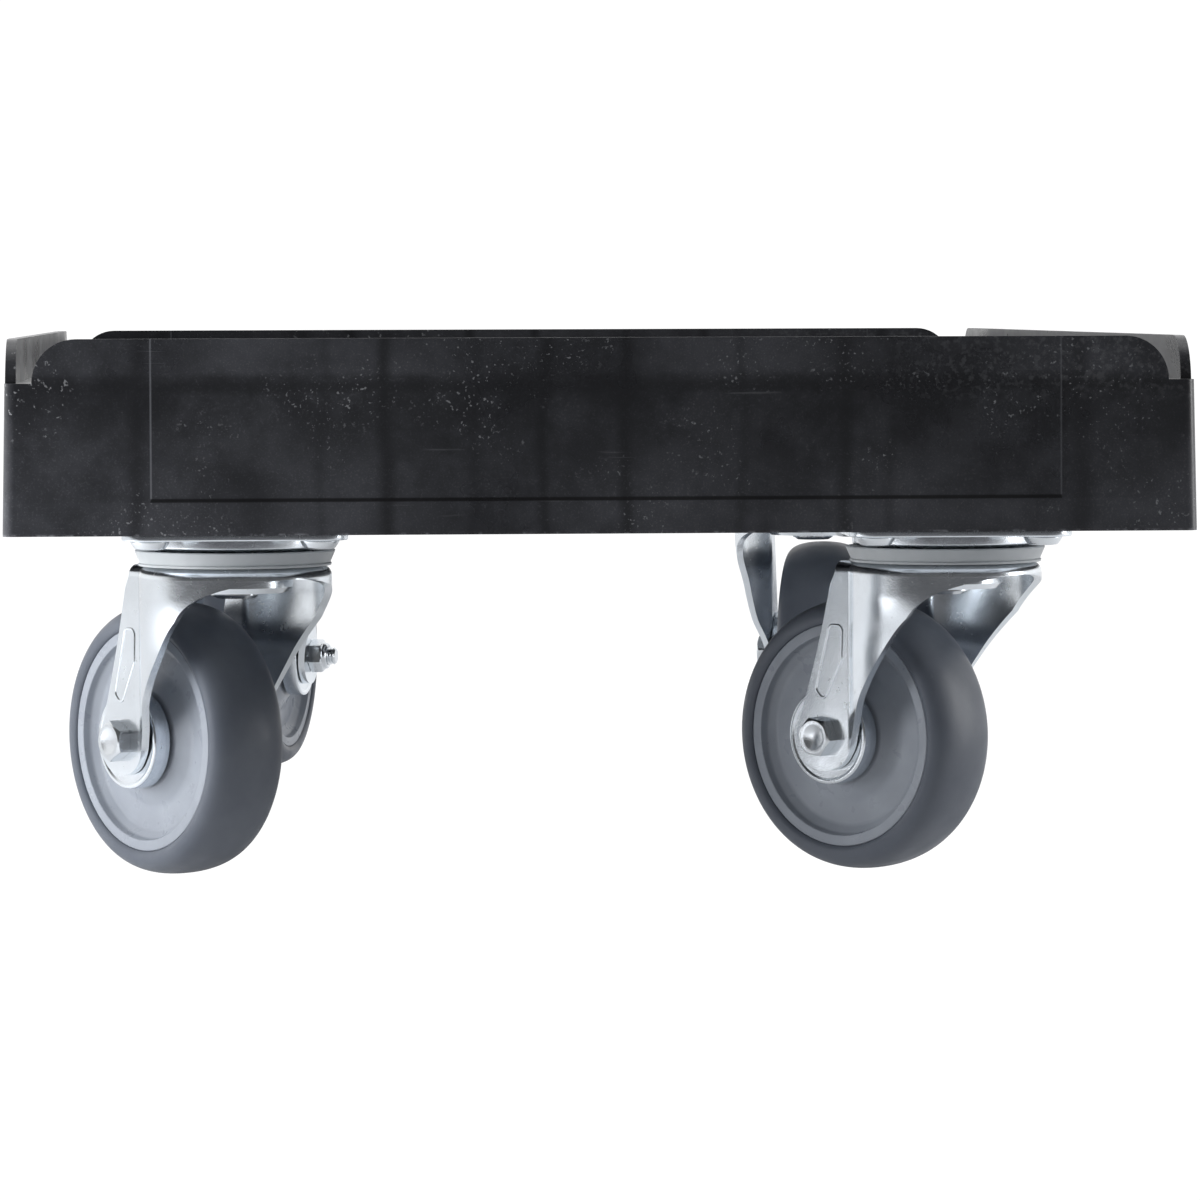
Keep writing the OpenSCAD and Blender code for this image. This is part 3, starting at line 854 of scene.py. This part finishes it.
def build_nut(corner):
    """A hexagon nut with a round locking collar."""
    face, flats = -BOLT_FACE, HEX_HALF_FLATS
    profile = [(4.0, face), (6.4, face, flats), (7.2, face - 0.15, flats), (7.6, face - 0.5, flats),
               (7.6, face - 4.9, flats), (7.2, face - 5.5, flats), (6.6, face - 5.9, flats),
               (6.1, face - 6.1), (5.9, face - 6.6), (5.8, face - 7.4), (5.2, face - 8.0),
               (4.4, face - 7.9), (4.0, face - 7.2)]
    verts, faces = lathe(profile, segments=96, turn=math.radians(BOLT_TURNS[corner]))
    piece = make_piece(corner + "_nut", verts, faces, axle_place(corner), corner + "_swivel",
                       FASTENER, sharp=28)
    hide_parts(corner + "_axle_nut")


def build_guards(corner):
    """A thin round cup inside each leg, open towards the wheel, round the hub's end."""
    brim = LEG_IN - 6.9
    profile = filleted([
        (4.1, LEG_IN - 1.2, 0), (GUARD_R - 1.3, LEG_IN - 1.2, 0.4), (GUARD_R - 1.2, brim, 0),
        (GUARD_R, brim, 0.3), (GUARD_R, LEG_IN - 0.02, 0.9), (GUARD_R - 1.5, LEG_IN - 0.02, 0.5),
        (GUARD_R - 2.1, LEG_IN - 0.45, 0.4), (4.1, LEG_IN - 0.3, 0)], steps=4)
    cup_verts, cup_faces = lathe(profile)
    shapes = []
    for side in (-1, 1):
        verts = [(x, y, side * z) for x, y, z in cup_verts]
        shapes.append((verts, [face[::side] for face in cup_faces]))
    verts, faces = joined(*shapes)
    piece = make_piece(corner + "_guards", verts, faces, axle_place(corner), corner + "_swivel",
                       ZINC)
    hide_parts(corner + "_thread_guards")


# ---------------------------------------------------------------- wheel

def build_rim(corner):
    """The wheel's centre: a hub, a dished web and the ring that the tyre sits on."""
    half = [(HUB_BORE, 19.0, 0), (14.0, 19.0, 0.6), (14.2, 13.4, 1.2), (18.6, 13.2, 3.0),
            (25.0, 9.9, 6.0), (33.6, 9.7, 3.0), (36.5, 12.0, 2.0), (37.1, 14.7, 0.5), (40.95, 14.7, 0.5)]
    profile = filleted(half + [(r, -h, f) for r, h, f in reversed(half)], steps=8)
    verts, faces = lathe(profile, segments=180)
    piece = make_piece(corner + "_rim", verts, faces, axle_place(corner), corner + "_wheel",
                       RIM, sharp=50)
    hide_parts(corner + "_wheel_rim")


def build_tyre(corner):
    """A round-shouldered tyre, moulded on to the rim."""
    upper = [(41.0, 13.6), (41.05, 14.6), (41.5, 15.2), (42.2, 15.6)]
    tread = ((42.9, 15.8), (47.8, 15.9), (WHEEL_R, 9.8), (WHEEL_R, 0))
    upper += [bezier(*tread, k / 24) for k in range(25)]
    profile = upper + [(r, -h) for r, h in reversed(upper[:-1])]
    verts, faces = lathe(profile, segments=180)
    piece = make_piece(corner + "_tyre_ring", verts, faces, axle_place(corner), corner + "_wheel",
                       TYRE, sharp=50)
    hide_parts(corner + "_tyre")


# ---------------------------------------------------------------- CAD pieces that stay

KEPT = {"king_pin": FASTENER, "race_cup": ZINC, "swivel_balls": BEARING, "axle_sleeve": BEARING,
        "roller_bearing": BEARING}


def dress_kept(name, material):
    """Gives a CAD node its material, and leaves its shape."""
    node = frame["nodes"][name]
    node.data.materials.clear()
    node.data.materials.append(material)


build_deck()
dress_kept("threaded_inserts", BRASS)
fork_sheet = fork_surface()
for corner in CORNERS:
    build_top_plate(corner)
    build_plate_screws(corner)
    build_dust_ring(corner)
    build_fork(corner, fork_sheet)
    build_leg_lines(corner)
    build_bolt(corner)
    build_nut(corner)
    build_guards(corner)
    build_rim(corner)
    build_tyre(corner)
    for part, material in KEPT.items():
        dress_kept(f"{corner}_{part}", material)


# ---------------------------------------------------------------- studio

def area_light(name, place, aim, size, power, mirrored=True):
    """A lamp that the camera doesn't see. Glossy surfaces mirror it unless mirrored is False."""
    data = bpy.data.lights.new(name, "AREA")
    data.shape = "RECTANGLE"
    data.size, data.size_y = size
    data.energy = power
    lamp = bpy.data.objects.new(name, data)
    lamp.location = place
    direction = Vector(aim) - Vector(place)
    lamp.rotation_euler = direction.to_track_quat("-Z", "Y").to_euler()
    lamp.visible_camera = False
    lamp.visible_glossy = mirrored
    bpy.context.scene.collection.objects.link(lamp)


def build_floor():
    """A floor painted dark on the camera's side and pale elsewhere, where it glows faintly as a painted light on
    the undersides. The camera sees the white room instead of it.
    """
    mesh = bpy.data.meshes.new("floor")
    half, level = 4.0, -0.001
    corners = [(-half, -half, level), (half, -half, level), (half, half, level), (-half, half, level)]
    mesh.from_pydata(corners, [], [(0, 1, 2, 3)])
    floor = bpy.data.objects.new("floor", mesh)
    bpy.context.scene.collection.objects.link(floor)
    floor.visible_camera = False
    pale = Nodes("pale_floor", Roughness=0.9, Emission_Color=(1, 1, 1, 1))
    split = pale.node("ShaderNodeSeparateXYZ", Vector=pale.place)
    # Painted light and shade: dark on the camera's side, pale and faintly glowing beyond it
    nearness = pale.ramp(split.outputs["Y"], -0.8, -0.25)
    pale.give("Base Color", pale.mix(nearness, (0.1, 0.1, 0.11, 1), (0.8, 0.81, 0.83, 1)))
    pale.give("Emission Strength", pale.product(nearness, 0.28))
    mesh.materials.append(pale.material)


def build_world():
    """A white room that is dark on the camera's side."""
    world = bpy.data.worlds.new("studio")
    bpy.context.scene.world = world
    world.use_nodes = True
    tree = world.node_tree
    place = tree.nodes.new("ShaderNodeTexCoord")
    split = tree.nodes.new("ShaderNodeSeparateXYZ")
    tree.links.new(place.outputs["Generated"], split.inputs[0])
    span = tree.nodes.new("ShaderNodeMapRange")
    span.interpolation_type = "SMOOTHSTEP"
    for key, value in (("From Min", -0.3), ("From Max", 0.24), ("To Min", 0.11), ("To Max", 1.08)):
        span.inputs[key].default_value = value
    tree.links.new(split.outputs["Y"], span.inputs["Value"])
    background = tree.nodes["Background"]
    background.inputs["Color"].default_value = (1, 1, 1, 1)
    tree.links.new(span.outputs["Result"], background.inputs["Strength"])


def build_camera():
    """Low in front of the deck, a little left of its middle, with a long lens."""
    data = bpy.data.cameras.new("camera")
    data.lens = 169.27
    data.sensor_width = 36
    data.clip_end = 60
    camera = bpy.data.objects.new("camera", data)
    yaw, pitch, roll = (math.radians(a) for a in (3.65, 3.02, -0.18))
    forward = Vector((math.sin(yaw) * math.cos(pitch), math.cos(yaw) * math.cos(pitch), -math.sin(pitch)))
    right = Vector((math.cos(yaw), -math.sin(yaw), 0))
    up = right.cross(forward)
    tilted_right = right * math.cos(roll) + up * math.sin(roll)
    tilted_up = up * math.cos(roll) - right * math.sin(roll)
    turn = Matrix((tilted_right, tilted_up, -forward)).transposed().to_4x4()
    middle = DECK_MIDDLE * MM
    spot = Vector((middle.x - 0.12715, middle.y - 2.2775, 0.20882))
    camera.matrix_world = Matrix.Translation(spot) @ turn
    bpy.context.scene.collection.objects.link(camera)
    bpy.context.scene.camera = camera


build_floor()
build_world()
build_camera()
area_light("above", (-0.2, -0.1, 1.8), (0, 0, 0.1), (1.6, 1.6), 5)
area_light("low_left", (-0.54, -0.37, 0.11), (-0.16, -0.25, 0.06), (0.3, 0.3), 2.6, mirrored=False)
area_light("right", (1.5, -0.35, 0.4), (0.1, 0, 0.1), (0.5, 1.2), 9)
bpy.context.scene.view_settings.view_transform = "Standard"
